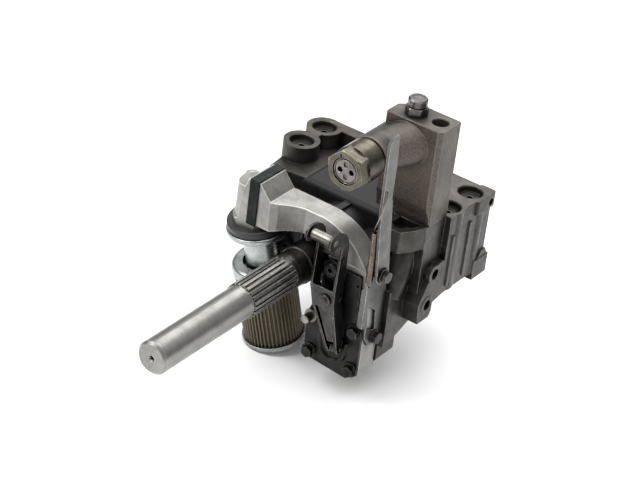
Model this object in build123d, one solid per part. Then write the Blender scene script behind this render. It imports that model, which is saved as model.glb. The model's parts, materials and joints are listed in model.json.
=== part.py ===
from build123d import *
import math
import os

# Hydraulic lift pump with four opposed pistons, two eccentrics and a control valve.
# Millimetres. Z is up, Y is the drive axis, and the free shaft end points to -Y.
# The origin is on the drive axis, where the smooth journal meets the spline.

os.makedirs("parts", exist_ok=True)

# Drive shaft
JOURNAL_R = 17.5
JOURNAL_LENGTH = 135.0
SPLINE_TEETH = 21
SPLINE_TIP_R = 19.0
SPLINE_ROOT_R = 17.1
SPLINE_LENGTH = 72.0
SPLINE_NECK = 0.8
BAND_R = 18.9
HUB_START = 93.0
HUB_R = 20.5
INNER_SHAFT_R = 15.0
SHAFT_END = 289.0
RUN_CLEARANCE = 0.05

# Eccentrics, blocks and yokes
FRONT_Y = 223.0
REAR_Y = 264.0
THROW = 3.0
ECCENTRIC_R = 24.2
BLOCK_HALF = 27.5
ROW_WIDTH = 24.0
YOKE_GAP = 0.4
YOKE_WALL = 5.0
PISTON_R = 10.0
LINER_R = 14.0

# Castings
BODY_HALF = 58.0
BODY_FRONT = 175.0
BODY_BACK = 283.0
NOSE_FRONT = 138.0
BODY_TOP = 45.0
BODY_BOTTOM = -46.0
CAVITY_FRONT = 207.0
CAVITY_HALF = 44.5
CAVITY_HALF_HEIGHT = 38.8
LEDGE_Z = 36.0
PORT_FACE_Z = 54.5
BAND_DEPTH = 15.0
LEFT_PORT_X = -95.0
RIGHT_PORT_X = 89.5
PORT_BOSS_R = 19.5
PORT_R = 12.7
PORT_DEPTH = 7.0
VALVE_CHAMBER_R = 8.0
VALVE_SEAT_Z = 4.0
VALVE_SEAT_R = 4.0
BALL_R = 5.0
RETAINER_BOTTOM = 14.8

# Front cover and the plate on it
COVER_FRONT = 112.0
PAD_FRONT = 111.2
COVER_BACK = 137.0
COVER_TOP = 54.5
COVER_RIGHT = 77.8
HOUSING_FRONT = 96.0
HOUSING_TOP = 70.0
PLATE_THICKNESS = 2.8
PLATE_FRONT = PAD_FRONT - PLATE_THICKNESS
PLATE_BOLTS = ((18.6, -99.8), (69.5, -99.8), (69.2, -53.5))
PLATE_BOLT_HOLE_R = 3.3
STUB_X = 16.5
STUB_Z = -58.0

# Suction filter, on a tilted axis
FILTER_TOP = Vector(-69.4, 117.45, 17.0)
FILTER_UP = Vector(-0.13, -0.18, 0.975).normalized()
SEAL_R = 31.6
SEAL_HEIGHT = 8.4
FLANGE_R = 33.2
FLANGE_HEIGHT = 6.2
TUBE_R = 18.0
TUBE_WALL = 1.6
CAP_DEPTH = 53.0
MESH_DEPTH = 65.0
BASE_DEPTH = 146.0
FILTER_END = 151.5
FILTER_R = 32.5
MESH_R = 31.6
PLEATS = 48

# Relief valve and its block
BLOCK_X = (33.0, 98.0)
BLOCK_Y = (171.0, 206.0)
BLOCK_TOP = 162.0
VALVE_X = 44.0
VALVE_Z = 129.5
VALVE_BOSS_R = 21.8
VALVE_BOSS_FRONT = 130.0
VALVE_SLEEVE_R = 21.2
VALVE_HEX = 38.5
VALVE_HEX_LENGTH = 14.0
VALVE_FRONT = 90.0
BLOCK_BOLT = (57.0, 187.0)
BLOCK_BOLT_R = 5.5

# Control lever linkage
LEVER_LEFT = 20.5
LEVER_RIGHT = 51.0
LEVER_SHEET = 2.5
LEVER_PIVOT = (100.0, -76.0)
ROLLER_CENTRE = (79.3, 55.5)
ROLLER_R = 5.75
SPACER_CENTRE = (100.0, 27.0)
LINK_CENTRE = (101.5, -20.5)
SPOOL_X = 40.5
SPOOL_Z = -20.5
SPOOL_R = 6.0
SPOOL_EYE_R = 5.2

# Side bracket, blade lever and tension spring
BRACKET_X = (78.0, 80.5)
BRACKET_FLANGE = 3.4
BRACKET_BOLT = (126.6, -62.0)
BLADE_X = (87.0, 90.0)
BLADE_PIVOT = (111.5, 22.2)
SPRING_COIL_R = 3.75
SPRING_WIRE = 1.1
SPRING_BOTTOM = Vector(81.6, 101.0, 14.5)
SPRING_TOP = Vector(82.6, 98.8, 74.0)
SPRING_EYE = (97.3, 123.4)
SPRING_HOLE = (104.3, 7.0)

BASE = (Align.CENTER, Align.CENTER, Align.MIN)
SIDES = (("left", LEFT_PORT_X), ("right", RIGHT_PORT_X))
ROWS = (("front", FRONT_Y, 1), ("rear", REAR_Y, -1))


# ---------------------------------------------------------------- helpers

def block(x0, x1, y0, y1, z0, z1):
    return Pos((x0 + x1) / 2, (y0 + y1) / 2, (z0 + z1) / 2) * Box(x1 - x0, y1 - y0, z1 - z0)


def rod(radius, start, direction, length):
    return Plane(origin=start, z_dir=direction) * Cylinder(radius, length, align=BASE)


def rod_x(radius, x0, x1, y, z):
    return rod(radius, (x0, y, z), (1, 0, 0), x1 - x0)


def rod_y(radius, y0, y1, x=0.0, z=0.0):
    return rod(radius, (x, y0, z), (0, 1, 0), y1 - y0)


def rod_z(radius, z0, z1, x, y):
    return rod(radius, (x, y, z0), (0, 0, 1), z1 - z0)


def cone_y(r0, r1, y0, y1, x=0.0, z=0.0):
    return Plane(origin=(x, y0, z), z_dir=(0, 1, 0)) * Cone(r0, r1, y1 - y0, align=BASE)


def plate_x(points, x0, x1):
    """Outline of (y, z) points, from x0 to x1."""
    face = make_face(Plane.YZ.offset(x0) * Polyline(*points, close=True))
    return extrude(face, x1 - x0, dir=(1, 0, 0))


def plate_y(points, y0, y1):
    """Outline of (x, z) points, from y0 to y1."""
    face = make_face(Plane.XZ.offset(-y0) * Polyline(*points, close=True))
    return extrude(face, y1 - y0, dir=(0, 1, 0))


def plate_z(points, z0, z1):
    """Outline of (x, y) points, from z0 to z1."""
    face = make_face(Plane.XY.offset(z0) * Polyline(*points, close=True))
    return extrude(face, z1 - z0, dir=(0, 0, 1))


def rounded(shape, axis, radius):
    """The shape with every straight edge along one axis rounded."""
    return fillet(shape.edges().filter_by(axis), radius)


def ends_chamfered(shape, axis, size):
    edges = shape.edges().filter_by(GeomType.CIRCLE)
    groups = edges.group_by(axis)
    return chamfer(groups[0] + groups[-1], size)


def hexagon(flats, height):
    """Hexagon head with turned corners, standing on the XY plane."""
    prism = extrude(RegularPolygon(flats / 2, 6, major_radius=False), height)
    limit = Cylinder(flats * 0.577, height, align=BASE)
    limit = chamfer(limit.edges().group_by(Axis.Z)[-1], flats * 0.05)
    return prism & limit


def bolt(flats, head, shank_r, shank, washer_r=0.0, washer=1.5):
    """Hexagon bolt with its seat on the XY plane and its shank along -Z."""
    body = Pos(0, 0, washer if washer_r else 0) * hexagon(flats, head)
    if washer_r:
        body += Cylinder(washer_r, washer, align=BASE)
    return body + Pos(0, 0, -shank) * Cylinder(shank_r, shank, align=BASE)


def facing(point, direction, shape):
    """Place a shape built along +Z at a point, looking along a direction."""
    return Plane(origin=point, z_dir=direction) * shape


def coil(radius, wire, height, turns):
    """Helical spring standing on the XY plane."""
    path = Helix(pitch=height / turns, height=height, radius=radius)
    section = Plane(origin=path @ 0, z_dir=path % 0) * Circle(wire / 2)
    return sweep(section, path=path)


def mirrored_pair(x):
    return ((-x, -1), (x, 1))


# ---------------------------------------------------------------- drive line

def toothed_bar(tip_r, root_r, teeth, length, land=0.5):
    points = []
    pitch = 2 * math.pi / teeth
    for tooth in range(teeth):
        middle = tooth * pitch
        for radius, turn in ((root_r, -0.34), (tip_r, -land / 2), (tip_r, land / 2), (root_r, 0.34)):
            angle = middle + turn * pitch
            points.append((radius * math.cos(angle), radius * math.sin(angle)))
    return extrude(make_face(Polyline(*points, close=True)), length)


def drive_shaft():
    along_y = Plane(origin=(0, 0, 0), x_dir=(1, 0, 0), z_dir=(0, 1, 0))
    journal = rod_y(JOURNAL_R, -JOURNAL_LENGTH, 0)
    journal = chamfer(journal.edges().group_by(Axis.Y)[0], 2.6)
    neck = rod_y(SPLINE_ROOT_R - 0.2, -1, SPLINE_NECK + 1)
    limit = ends_chamfered(rod_y(SPLINE_TIP_R, SPLINE_NECK, SPLINE_LENGTH), Axis.Y, 1.4)
    spline = along_y * toothed_bar(SPLINE_TIP_R + 0.3, SPLINE_ROOT_R, SPLINE_TEETH, SPLINE_LENGTH, 0.46)
    band = rod_y(BAND_R, SPLINE_LENGTH, HUB_START - 0.3)
    band += cone_y(SPLINE_ROOT_R, BAND_R, SPLINE_LENGTH - 7, SPLINE_LENGTH)
    inner = rod_y(INNER_SHAFT_R, HUB_START - 1, SHAFT_END)
    inner = chamfer(inner.edges().group_by(Axis.Y)[-1], 1.5)
    driver = along_y.offset(130) * toothed_bar(SPLINE_TIP_R - 2, INNER_SHAFT_R - 0.5, 16, 50, 0.4)
    centre_drill = rod_y(2.1, -JOURNAL_LENGTH, -JOURNAL_LENGTH + 9)
    centre_drill += cone_y(3.4, 2.1, -JOURNAL_LENGTH, -JOURNAL_LENGTH + 1.8)
    return journal + neck + (spline & limit) + band + inner + driver - centre_drill


def camshaft():
    along_y = Plane(origin=(0, 130 - 1, 0), x_dir=(1, 0, 0), z_dir=(0, 1, 0))
    hub = ends_chamfered(rod_y(HUB_R, HUB_START, 295.0), Axis.Y, 1.0)
    for name, y, side in ROWS:
        hub += rod_y(ECCENTRIC_R, y - ROW_WIDTH / 2 - 1, y + ROW_WIDTH / 2 + 1, z=side * THROW)
    hub -= rod_y(INNER_SHAFT_R + RUN_CLEARANCE, HUB_START, 295.0)
    slots = toothed_bar(SPLINE_TIP_R - 2 + 0.15, INNER_SHAFT_R - 0.3, 16, 52, 0.46)
    return hub - along_y * slots


def cam_block(y, side):
    z = side * THROW
    body = block(-BLOCK_HALF, BLOCK_HALF, y - ROW_WIDTH / 2, y + ROW_WIDTH / 2, z - BLOCK_HALF, z + BLOCK_HALF)
    body = chamfer(body.edges().filter_by(Axis.Y), 3)
    bore = rod_y(ECCENTRIC_R + RUN_CLEARANCE, y - ROW_WIDTH / 2, y + ROW_WIDTH / 2, z=z)
    return body - bore - rod_z(2, z + 20, z + BLOCK_HALF + 1, 0, y)


def piston_yoke(y):
    inner_x = BLOCK_HALF + 2 * THROW + YOKE_GAP
    inner_z = BLOCK_HALF + THROW + YOKE_GAP
    outer_x = inner_x + YOKE_WALL
    outer_z = inner_z + YOKE_WALL
    half = ROW_WIDTH / 2
    frame = rounded(block(-outer_x, outer_x, y - half, y + half, -outer_z, outer_z), Axis.Y, 5)
    window = rounded(block(-inner_x, inner_x, y - half, y + half, -inner_z, inner_z), Axis.Y, 2)
    return frame - window


def piston(y, side):
    start = BLOCK_HALF + 2 * THROW + YOKE_GAP + YOKE_WALL
    end = 78.0
    body = rod_x(PISTON_R, start, end, y, 0)
    body = chamfer(body.edges().group_by(Axis.X)[-1], 1)
    for groove in (60.0, 66.0, 72.0):
        outside = rod_x(PISTON_R + 1, groove, groove + 1, y, 0)
        body -= outside - rod_x(PISTON_R - 0.5, groove - 1, groove + 2, y, 0)
    return body if side > 0 else mirror(body, Plane.YZ)


def cylinder_liners():
    liners = []
    for name, y, row in ROWS:
        for x, side in mirrored_pair(46.5):
            tube = rod_x(LINER_R, 46.5, 82.0, y, 0) - rod_x(PISTON_R + RUN_CLEARANCE, 46.0, 83.0, y, 0)
            liners.append(tube if side > 0 else mirror(tube, Plane.YZ))
    return Compound(liners)


def front_bush():
    bush = rod_y(24.0, 147.0, 175.0) - rod_y(HUB_R + RUN_CLEARANCE, 147.0, 175.0)
    return bush


def rear_bush():
    bush = rod_y(24.0, 284.5, 294.0) - rod_y(HUB_R + RUN_CLEARANCE, 284.5, 294.0)
    return bush


def shaft_seal():
    seal = rod_y(28.0, NOSE_FRONT, 146.5) - rod_y(HUB_R + RUN_CLEARANCE, NOSE_FRONT, 146.5)
    return seal - (rod_y(26.0, NOSE_FRONT, 143.0) - rod_y(22.5, NOSE_FRONT, 143.0))


# ---------------------------------------------------------------- castings

def cylinder_bores():
    """The two crosswise bores that take the liners, right through the castings."""
    return [rod_x(LINER_R, -82.0, 82.0, y, 0) for name, y, row in ROWS]


def pump_body():
    shell = rounded(block(-BODY_HALF, BODY_HALF, BODY_FRONT, BODY_BACK, BODY_BOTTOM, BODY_TOP), Axis.Z, 0.6)
    shell = fillet(shell.edges().filter_by(Axis.X).group_by(Axis.Y)[0], 7)
    shell += block(-BODY_HALF, BODY_HALF, BODY_BACK - BAND_DEPTH, BODY_BACK, BODY_TOP - 1, PORT_FACE_Z)
    nose = rounded(block(-54, 54, NOSE_FRONT, BODY_FRONT + 8, -14, 23), Axis.Y, 6)
    nose += rod_y(37.0, NOSE_FRONT, BODY_FRONT + 8)
    nose += rounded(block(12, 56, NOSE_FRONT, BODY_FRONT + 8, -38, 0), Axis.Y, 6)
    rib = block(-4, 4, NOSE_FRONT + 4, BODY_FRONT + 4, 20, 40)
    rib = chamfer(rib.edges().filter_by(Axis.X).group_by(Axis.Z)[-1].sort_by(Axis.Y)[0], 16)
    shell += nose + rib
    shell -= block(-CAVITY_HALF, CAVITY_HALF, CAVITY_FRONT, BODY_BACK, -CAVITY_HALF_HEIGHT, CAVITY_HALF_HEIGHT)
    shell -= rod_y(24.0, 147.0, 175.0)
    shell -= rod_y(HUB_R + 0.6, 140.0, BODY_BACK)
    shell -= rod_y(28.0, NOSE_FRONT - 1, 146.5)
    shell -= rod_y(SPOOL_R + RUN_CLEARANCE, NOSE_FRONT - 1, 172.0, SPOOL_X, SPOOL_Z)
    for bore in cylinder_bores():
        shell -= bore
    for x in (-49, 49):
        for z in (-40, 41.5):
            shell -= rod_y(3.0, BODY_BACK - 12, BODY_BACK + 1, x, z)
    return shell - block_bolt_hole() - filter_space()


def block_bolt_hole():
    return rod_z(BLOCK_BOLT_R + 0.2, 20, BLOCK_TOP + 1, *BLOCK_BOLT)


def filter_space():
    """Room that the castings leave round the suction flange and the filter under them."""
    neck = facing(FILTER_TOP, -FILTER_UP, Cylinder(FLANGE_R + 1.0, CAP_DEPTH, align=BASE))
    start = FILTER_TOP - FILTER_UP * (CAP_DEPTH - 4)
    return neck + facing(start, -FILTER_UP, Cylinder(FILTER_R + 3.0, 110, align=BASE))


def port_hollows(x, y):
    """Port bore, valve chamber, seat hole and the end of the cylinder."""
    bore = rod_z(PORT_R, PORT_FACE_Z - PORT_DEPTH, PORT_FACE_Z + 1, x, y)
    bore += Pos(x, y, PORT_FACE_Z - 1.2) * Cone(PORT_R, PORT_R + 1.3, 1.3, align=BASE)
    bore += rod_z(VALVE_CHAMBER_R, VALVE_SEAT_Z, PORT_FACE_Z - PORT_DEPTH + 1, x, y)
    bore += rod_z(VALVE_SEAT_R, -2, VALVE_SEAT_Z + 1, x, y)
    inner = 81.0 if x > 0 else -81.0
    return bore + rod_x(VALVE_SEAT_R - 0.7, min(x, inner), max(x, inner), y, 0)


def left_valve_chest():
    x = LEFT_PORT_X
    body = block(-96.5, -BODY_HALF, 139.0, BODY_BACK, BODY_BOTTOM, 20)
    body = fillet(body.edges().filter_by(Axis.Z).group_by(Axis.X)[0], 5)
    ledge = plate_z([(-104, 182), (-106.5, 208), (-BODY_HALF, 222), (-BODY_HALF, 189), (-79, 188)], -8, LEDGE_Z)
    body += fillet(ledge.edges().filter_by(Axis.Z).group_by(Axis.X)[0], 4)
    body += block(-96.5, -BODY_HALF, 205, BODY_BACK, 0, LEDGE_Z)
    for name, y, row in ROWS:
        body += rod_z(PORT_BOSS_R, BODY_BOTTOM, PORT_FACE_Z, x, y)
    body += block(x - 8.5, x + 8.5, FRONT_Y, REAR_Y, BODY_BOTTOM, PORT_FACE_Z)
    body += block(x - 15.5, x, FRONT_Y, REAR_Y, BODY_BOTTOM + 8, LEDGE_Z)
    body += block(x, -BODY_HALF, BODY_BACK - BAND_DEPTH, BODY_BACK, LEDGE_Z - 1, PORT_FACE_Z)
    for name, y, row in ROWS:
        body -= port_hollows(x, y)
        body -= rod_x(LINER_R, -82.0, -BODY_HALF + 1, y, 0)
    pad = rounded(block(-112, -90, 176, 206, -52, 6), Axis.X, 9)
    body += pad
    for depth, z in ((-98.0, -4.4), (-96.0, -38.6)):
        body -= rod_x(6.0, -113, depth, 188.3, z)
    return body - filter_space()


def right_valve_chest():
    x = RIGHT_PORT_X
    body = block(BODY_HALF, 98.0, BLOCK_Y[0], 207.0, -37, PORT_FACE_Z)
    body += block(BODY_HALF, 105.0, 205.0, BODY_BACK, -37, PORT_FACE_Z)
    for name, y, row in ROWS:
        body += rod_z(PORT_BOSS_R - 2.6, -37, PORT_FACE_Z, x, y)
    body += rounded(block(90, 108.0, 252, 285.5, 38, PORT_FACE_Z), Axis.Z, 2.5)
    lip = plate_z([(60, 172), (60, 152), (70, 146), (73, 143.5), (84, 143.5), (93, 158), (97.5, 172)],
                  30, PORT_FACE_Z)
    lip = fillet(lip.edges().filter_by(Axis.Z).group_by(Axis.Y)[0], 3)
    lip -= plate_z([(66, 171), (66, 155), (72, 151), (79, 150.5), (87, 161), (92, 171)], 45, PORT_FACE_Z + 1)
    body += lip
    column = rod(12.5, (76, 186, 34), (0, -0.55, -1), 70)
    body += column & block(40, 98, 120, 200, -46, 40)
    limb = plate_x([(139, -13), (150, -18), (172, -18), (172, -37), (186, -37), (186, -66), (160, -75),
                    (139, -80)], 58, 86)
    body += limb - block(BODY_HALF - 1, 80.0, 138, 170.0, -103, -38)
    body += plate_x([(165, -33), (179, -12), (190, 4), (202, 6), (212, 0), (212, -37), (192, -40), (192, -50),
                     (188, -56), (168, -56)], 84, 105)
    body += block(98, 107.5, 263, 290, -44.5, -22)
    body += plate_x([(263, -44.5), (290, -44.5), (290, -26), (284, -14), (276, -14), (263, -30)], 80, 107)
    for y0, y1, z0, z1 in ((212.5, 216, -30, 30), (243, 247, -30, 34)):
        body += block(100, 106.6, y0, y1, z0, z1)
    for y, z in ((188.3, -4.4), (181.5, -38.6)):
        body += rod_x(10.0, 100, 105.6, y, z)
        body -= rod_x(6.0, 88, 107, y, z)
    for name, y, row in ROWS:
        body -= port_hollows(x, y)
        body -= rod_x(LINER_R, BODY_HALF - 1, 82.0, y, 0)
    body -= plate_z([(84, 210.5), (84, 220), (94, 217)], 44, PORT_FACE_Z + 1)
    body -= rod_x(4.2, 98, 109, 277, 45)
    body -= block_bolt_hole()
    return body


def control_valve_housing():
    body = rounded(block(14, 80, 139.0, 170, -102, -38.2), Axis.Y, 7)
    body += rod_y(9, 139.0, 176, 66, -88)
    body += rounded(block(20, 58, 165, 190, -80, -46.2), Axis.Z, 6)
    for x, z in PLATE_BOLTS:
        body -= rod_y(PLATE_BOLT_HOLE_R, 130, 156, x, z)
    return body


def rear_cover():
    outer = rounded(block(-55, 55, BODY_BACK, 288, -46, 46.5), Axis.Y, 9)
    outer += cone_y(38, 34, 288, 294)
    outer -= rod_y(24.0, 284.5, 295)
    outer -= rod_y(HUB_R + 0.6, BODY_BACK - 1, 285)
    for x in (-49, 49):
        for z in (-40, 41.5):
            outer -= rod_y(3.3, BODY_BACK - 1, 290, x, z)
    return outer


def rear_cover_bolts():
    heads = []
    for x in (-49, 49):
        for z in (-40, 41.5):
            heads.append(facing((x, 288, z), (0, 1, 0), bolt(10, 5, 2.9, 15)))
    return Compound(heads)


def cover_outline():
    """Front view of the cover: an arm over the shaft and a body below it at the right."""
    top = Line((-41, COVER_TOP), (12, COVER_TOP))
    shoulder = ThreePointArc((12, COVER_TOP), (43, 44.5), (64, 25))
    right = Polyline((64, 25), (COVER_RIGHT, 10), (COVER_RIGHT, -104), (66, -112), (12.5, -107.5), (12.5, -66))
    inside = Polyline((12.5, -66), (17, -43), (24.5, -18), (26, 6))
    crown = ThreePointArc((26, 6), (21, 20), (8, 25.3))
    arch = ThreePointArc((8, 25.3), (-14, 26.2), (-39, 21))
    left = Polyline((-39, 21), (-50, 21), (-50, 50), (-41, COVER_TOP))
    return make_face(Plane.XZ.offset(-HOUSING_FRONT) * (top + shoulder + right + inside + crown + arch + left))


def front_cover():
    cover = extrude(cover_outline(), COVER_BACK - HOUSING_FRONT, dir=(0, 1, 0))
    sweep_in = Polyline((-41, 95), (-41, HOUSING_FRONT), (-33, 99.5))
    sweep_in += ThreePointArc((-33, 99.5), (-22, 107), (-8, COVER_FRONT))
    sweep_in += Polyline((-8, COVER_FRONT), (90, COVER_FRONT), (90, 90), (-41, 90), (-41, 95))
    cover -= extrude(make_face(Plane.XY.offset(-120) * sweep_in), 200)
    housing = plate_y([(-41, 24), (-41, COVER_TOP), (-55, HOUSING_TOP), (-70, HOUSING_TOP), (-76, 52), (-78, 34),
                       (-70, 21), (-48, 21)], HOUSING_FRONT, COVER_BACK)
    flare = facing(FILTER_TOP, FILTER_UP, Cone(24, 13, 46, align=BASE))
    spigot = facing(FILTER_TOP, FILTER_UP, Cylinder(23.8, 8, align=BASE))
    back = block(-94, -45, 120, COVER_BACK, 18, 54)
    back = fillet(back.edges().filter_by(Axis.Y).group_by(Axis.X)[0], 12)
    below = facing(FILTER_TOP, -FILTER_UP, Cylinder(60, 40, align=BASE))
    left = housing + flare + spigot + back - below
    ear = rod_z(8.0, 40, 57, -86, 126)
    cover += left & block(-120, 0, HOUSING_FRONT, COVER_BACK, -10, 90)
    cover += ear
    cover -= rod_z(3.2, 45, 58, -86, 126)
    cover += plate_y([(24.5, -18), (26, 16.5), (71, 16.5), (COVER_RIGHT, 10), (COVER_RIGHT, -104), (66, -112),
                      (12.5, -107.5), (12.5, -66), (17, -43)], PAD_FRONT, COVER_FRONT + 1)
    cover -= facing(FILTER_TOP - FILTER_UP, FILTER_UP, Cylinder(14, 34, align=BASE)) + filter_space()
    for x, z in PLATE_BOLTS:
        cover -= rod_y(PLATE_BOLT_HOLE_R, 105, 140, x, z)
    cover -= rod_y(8.5, 105, 140, SPOOL_X, SPOOL_Z)
    cover -= rod_x(3.2, 66, 79, *BRACKET_BOLT)
    cover -= rod_y(4.0, 105, 122, STUB_X, STUB_Z)
    return cover


def cover_gasket():
    outline = extrude(cover_outline(), 1, dir=(0, 1, 0))
    sheet = Pos(0, COVER_BACK - HOUSING_FRONT, 0) * outline
    sheet += block(-90, -41, COVER_BACK, COVER_BACK + 1, 21, 52)
    for x, z in PLATE_BOLTS:
        sheet -= rod_y(3.6, 130, 145, x, z)
    return sheet - rod_y(8.5, 130, 145, SPOOL_X, SPOOL_Z) - filter_space()


def housing_clip():
    """Flat steel strip bent over the front edge of the cover's left housing."""
    thickness = 1.6
    x0, x1 = -66.8, -56.0
    y, z = HOUSING_FRONT, HOUSING_TOP
    profile = [(y, 20), (y, z), (COVER_BACK + 1, z), (COVER_BACK + 1, z + thickness),
               (y - thickness, z + thickness), (y - thickness, 20)]
    strip = plate_x(profile, x0, x1)
    corner = strip.edges().filter_by(Axis.X).sort_by_distance((x0, y - thickness, z + thickness))[0]
    return fillet(corner, thickness)


# ---------------------------------------------------------------- valves in the ports

def valve_retainer(x, y):
    """Plug that stops the ball, level with the port's floor, with a hole down its middle."""
    top = PORT_FACE_Z - PORT_DEPTH
    plug = rod_z(VALVE_CHAMBER_R, RETAINER_BOTTOM, top, x, y)
    return plug - rod_z(3.2, RETAINER_BOTTOM - 1, top + 1, x, y)


def valve_retainers():
    return Compound([valve_retainer(x, y) for side, x in SIDES for name, y, row in ROWS])


def valve_ball(x, y):
    height = math.sqrt(BALL_R ** 2 - VALVE_SEAT_R ** 2)
    return Pos(x, y, VALVE_SEAT_Z + height + 0.1) * Sphere(BALL_R)


# ---------------------------------------------------------------- relief valve

def relief_block():
    x0, x1 = BLOCK_X
    y0, y1 = BLOCK_Y
    outline = [(x0, y0), (x1, y0), (x1, y1), (x0 + 15, y1), (x0, y1 - 15)]
    body = plate_z(outline, PORT_FACE_Z, BLOCK_TOP)
    body = chamfer(body.edges().filter_by(Axis.Z).sort_by_distance((x1, y0, 100))[0], 4.5)
    body -= plate_x([(160, 50), (y0 + 3, 50), (y0 + 3, 62), (y0, 74), (160, 74)], x0 - 1, x1 + 1)
    body = fillet(body.edges().group_by(Axis.Z)[-1].sort_by(Axis.Y)[0], 1.5)
    boss = rod_y(VALVE_BOSS_R, VALVE_BOSS_FRONT, y0 + 6, VALVE_X, VALVE_Z)
    boss = chamfer(boss.edges().filter_by(GeomType.CIRCLE).group_by(Axis.Y)[0], 1)
    flare = loft([
        Plane.XZ.offset(-(y0 - 26)) * Pos(VALVE_X + 1, VALVE_Z) * Circle(VALVE_BOSS_R - 1.2),
        Plane.XZ.offset(-(y0 + 2)) * Pos(VALVE_X + 17, VALVE_Z + 7)
        * Ellipse(VALVE_BOSS_R + 4, VALVE_BOSS_R + 1),
    ])
    body += flare & block(x0 - 1, x1, y0 - 30, y0 + 4, 60, BLOCK_TOP)
    body += boss & block(0, x1, 100, y1, 60, BLOCK_TOP)
    body -= rod_y(16.0, VALVE_BOSS_FRONT - 1, 172, VALVE_X, VALVE_Z)
    body -= rod_y(7.5, 170, 196, VALVE_X, VALVE_Z)
    body -= rod_z(8.5, BLOCK_TOP - 26, BLOCK_TOP + 1, 84, 190)
    body -= Pos(84, 190, BLOCK_TOP - 1) * Cone(8.5, 9.6, 1.01, align=BASE)
    return body - block_bolt_hole()


def block_bolt():
    """Long bolt through the block: hexagon with a round turned cap on top."""
    head = Rot(0, 0, 22) * hexagon(20.4, 9)
    head += Pos(0, 0, 8.5) * Cylinder(8.4, 2.5, align=BASE)
    cap = Pos(0, 0, 10.2) * Cylinder(10.0, 7.8, align=BASE)
    cap = chamfer(cap.edges().group_by(Axis.Z)[-1], 1.4)
    cap -= Pos(0, 0, 17.4) * Cylinder(6.4, 1, align=BASE)
    shank = Pos(0, 0, -140) * Cylinder(BLOCK_BOLT_R, 141, align=BASE)
    return Pos(*BLOCK_BOLT, BLOCK_TOP) * (head + cap + shank)


def relief_valve_body():
    """Screwed sleeve with a hexagon at the front and a deep face recess."""
    start = VALVE_FRONT + VALVE_HEX_LENGTH
    sleeve = rod_y(VALVE_SLEEVE_R, start - 1, VALVE_BOSS_FRONT - 2.2, VALVE_X, VALVE_Z)
    sleeve = chamfer(sleeve.edges().filter_by(GeomType.CIRCLE).group_by(Axis.Y)[-1], 0.8)
    neck = rod_y(VALVE_SLEEVE_R - 1.8, VALVE_BOSS_FRONT - 3, VALVE_BOSS_FRONT, VALVE_X, VALVE_Z)
    screw = rod_y(16.0, VALVE_BOSS_FRONT - 1, 170, VALVE_X, VALVE_Z)
    head = facing((VALVE_X, start, VALVE_Z), (0, -1, 0), Rot(0, 0, 14) * hexagon(VALVE_HEX, VALVE_HEX_LENGTH))
    body = head + sleeve + neck + screw
    body -= rod_y(14.6, VALVE_FRONT - 1, VALVE_FRONT + 8, VALVE_X, VALVE_Z)
    body -= rod_y(11.0, VALVE_FRONT + 6, 160, VALVE_X, VALVE_Z)
    body -= rod_y(5.0, 155, 171, VALVE_X, VALVE_Z)
    return body - rod_y(1.3, VALVE_FRONT - 1, VALVE_FRONT + 3, VALVE_X - 6.5, VALVE_Z + 15.2)


def relief_adjuster():
    """Ported disc that sets the spring: two holes right through and two shallow key holes."""
    front = VALVE_FRONT + 1.2
    disc = rod_y(14.5, front, VALVE_FRONT + 7.9, VALVE_X, VALVE_Z)
    disc = chamfer(disc.edges().group_by(Axis.Y)[0], 0.9)
    disc += rod_y(10.9, VALVE_FRONT + 7, VALVE_FRONT + 14, VALVE_X, VALVE_Z)
    groove = rod_y(13.0, VALVE_FRONT, front + 1.2, VALVE_X, VALVE_Z)
    disc -= groove - rod_y(11.6, VALVE_FRONT, front + 2, VALVE_X, VALVE_Z)
    for turn in range(4):
        angle = math.radians(90 * turn + 4)
        x, z = VALVE_X + 6.6 * math.cos(angle), VALVE_Z + 6.6 * math.sin(angle)
        depth = 15 if turn % 2 == 0 else 2.6
        disc -= rod_y(3.0, VALVE_FRONT, VALVE_FRONT + depth, x, z)
    return disc


def relief_poppet():
    poppet = cone_y(8.0, 3.9, 148.0, 157.0, VALVE_X, VALVE_Z)
    poppet += rod_y(10.9 - 0.05, 138.0, 148.0, VALVE_X, VALVE_Z)
    poppet -= rod_y(8.0, 137, 144.0, VALVE_X, VALVE_Z)
    return poppet


def relief_spring():
    start = VALVE_FRONT + 15.5
    return Plane(origin=(VALVE_X, start, VALVE_Z), z_dir=(0, 1, 0)) * coil(6.2, 2.2, 36.5, 7)


# ---------------------------------------------------------------- suction filter

def on_filter_axis(shape, depth):
    """Place a shape built upwards from the XY plane so that its base is at a depth below the seal."""
    return facing(FILTER_TOP - FILTER_UP * depth, FILTER_UP, shape)


def ring(outer, inner, height):
    return Cylinder(outer, height, align=BASE) - Cylinder(inner, height, align=BASE)


def filter_seal():
    seal = ring(SEAL_R, TUBE_R - TUBE_WALL - 1, SEAL_HEIGHT)
    seal = fillet(seal.edges().filter_by(GeomType.CIRCLE).sort_by(SortBy.RADIUS)[-2:], 1.8)
    return on_filter_axis(seal, SEAL_HEIGHT)


def suction_tube():
    flange = ring(FLANGE_R, TUBE_R - TUBE_WALL, FLANGE_HEIGHT)
    flange = fillet(flange.edges().filter_by(GeomType.CIRCLE).sort_by(SortBy.RADIUS)[-2:], 1.6)
    end = CAP_DEPTH + 6
    length = end - SEAL_HEIGHT - FLANGE_HEIGHT
    tube = Pos(0, 0, -length) * ring(TUBE_R, TUBE_R - TUBE_WALL, length + 1)
    return on_filter_axis(flange + tube, SEAL_HEIGHT + FLANGE_HEIGHT)


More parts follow.
